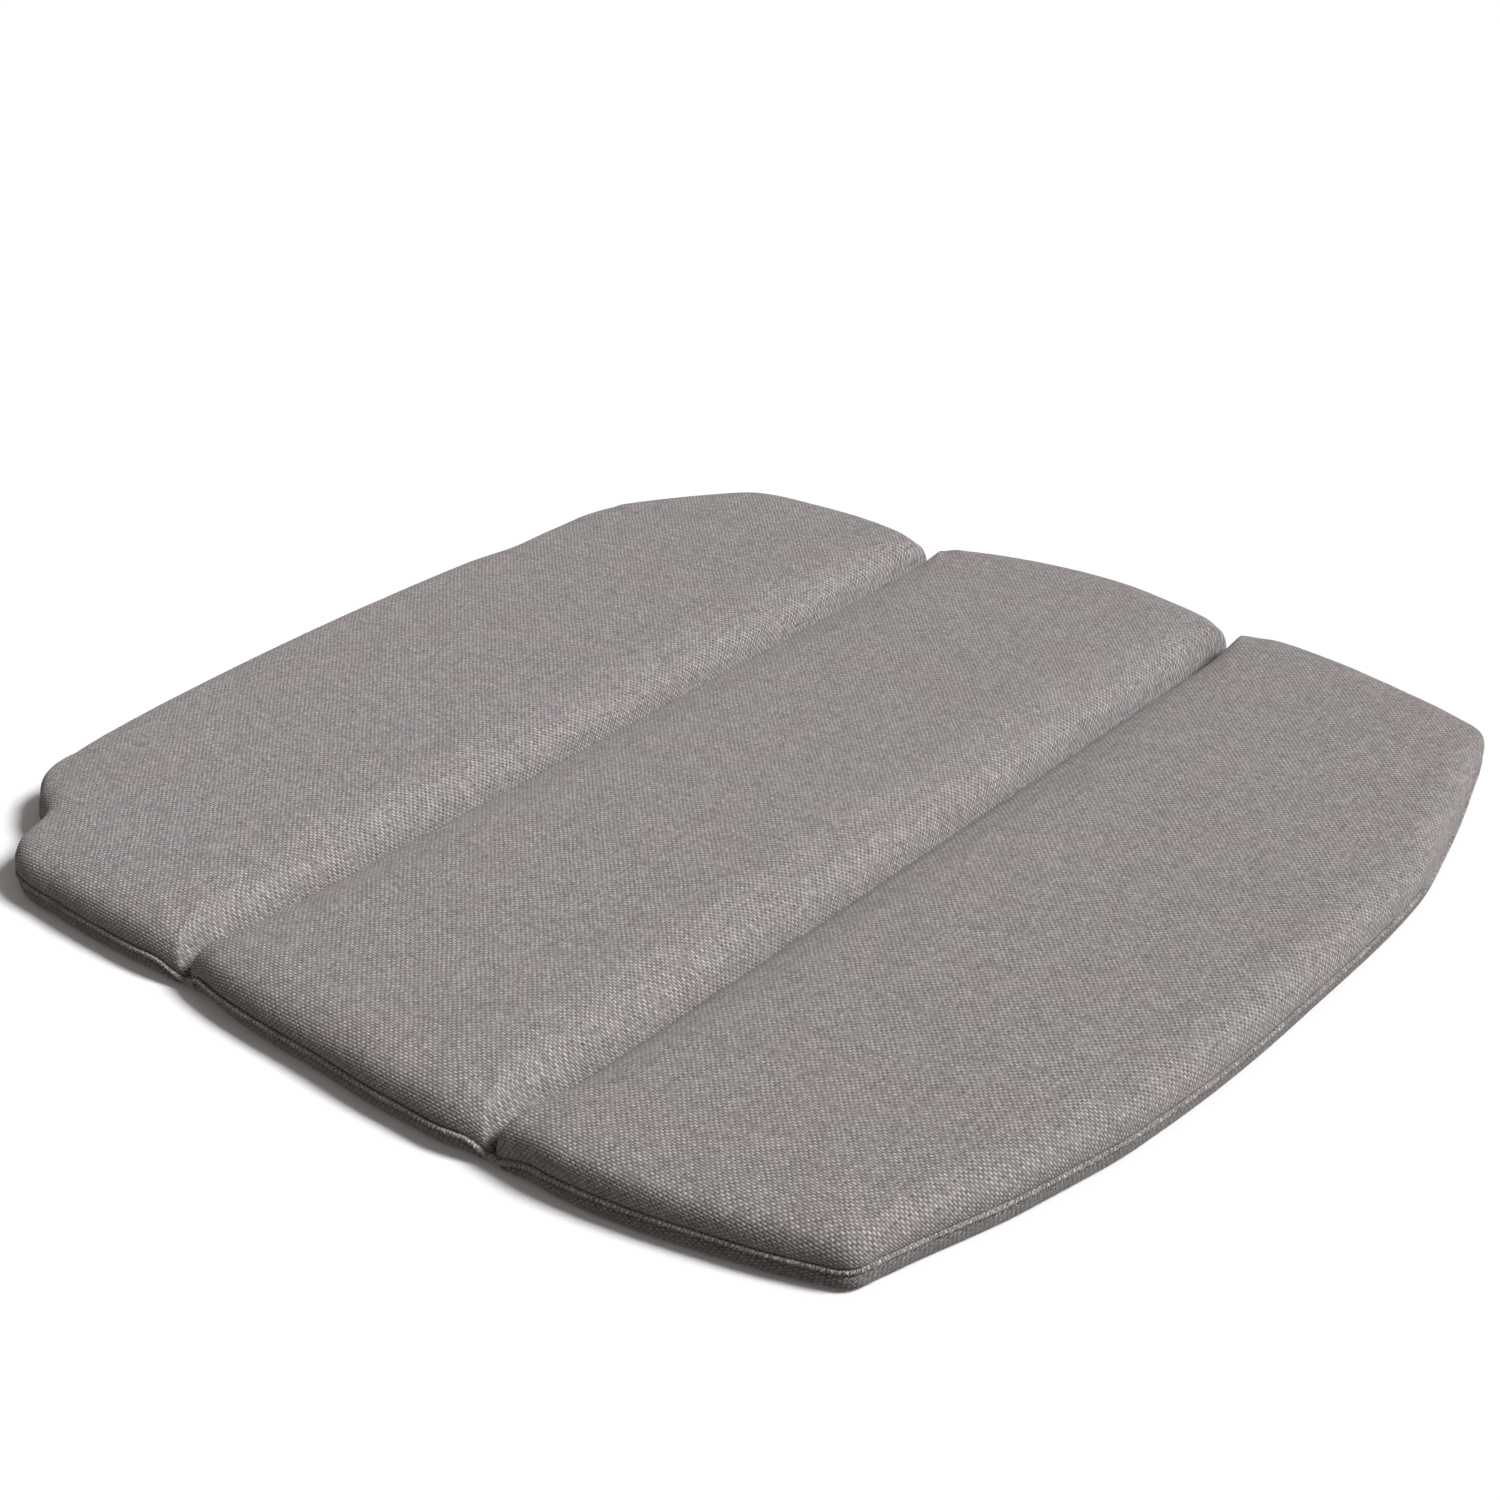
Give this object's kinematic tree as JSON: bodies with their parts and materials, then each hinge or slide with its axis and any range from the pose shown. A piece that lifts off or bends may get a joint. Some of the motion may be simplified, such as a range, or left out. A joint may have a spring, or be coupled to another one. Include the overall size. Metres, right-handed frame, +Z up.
{
  "type": "kneeling pad",
  "caption": "Flat upholstered foam pad to kneel or sit on, with a bowed front edge and cut-off rear corners, whose panels fold along stitched channels.",
  "frame": {"origin": "on the floor, at the middle of the pad's footprint", "axes": "+X along the stitched channels towards the right side of somebody facing the rear edge, +Y towards the rear edge with the cut-off corners, +Z up through the kneeling face"},
  "size_m": [0.5, 0.497, 0.023],
  "materials": {
    "top_fabric": "matte",
    "bottom_fabric": "matte",
    "sewing_thread": "matte",
    "foam": "matte",
    "fibre_wadding": "matte"
  },
  "bodies": {
    "middle_panel": {"middle_top_cover": "top_fabric", "middle_wadding": "fibre_wadding", "middle_foam": "foam", "middle_bottom_cover": "bottom_fabric", "middle_left_edge_seam": "top_fabric", "middle_right_edge_seam": "top_fabric", "middle_left_edge_thread": "sewing_thread", "middle_right_edge_thread": "sewing_thread", "front_channel_seam": "top_fabric", "front_channel_needle_thread": "sewing_thread", "front_channel_bobbin_thread": "sewing_thread", "rear_channel_seam": "top_fabric", "rear_channel_needle_thread": "sewing_thread", "rear_channel_bobbin_thread": "sewing_thread"},
    "front_panel": {"front_top_cover": "top_fabric", "front_wadding": "fibre_wadding", "front_foam": "foam", "front_bottom_cover": "bottom_fabric", "front_edge_seam": "top_fabric", "front_edge_thread": "sewing_thread"},
    "rear_panel": {"rear_top_cover": "top_fabric", "rear_wadding": "fibre_wadding", "rear_foam": "foam", "rear_bottom_cover": "bottom_fabric", "rear_edge_seam": "top_fabric", "rear_edge_thread": "sewing_thread"}
  },
  "joints": [
    {"name": "front_fold", "type": "hinge", "parent": "middle_panel", "child": "front_panel", "pos_m": [0, -0.079, 0.003], "axis": [-1, 0, 0], "range_deg": [-115, 30]},
    {"name": "rear_fold", "type": "hinge", "parent": "middle_panel", "child": "rear_panel", "pos_m": [0, 0.083, 0.003], "axis": [1, 0, 0], "range_deg": [-115, 30]}
  ]
}
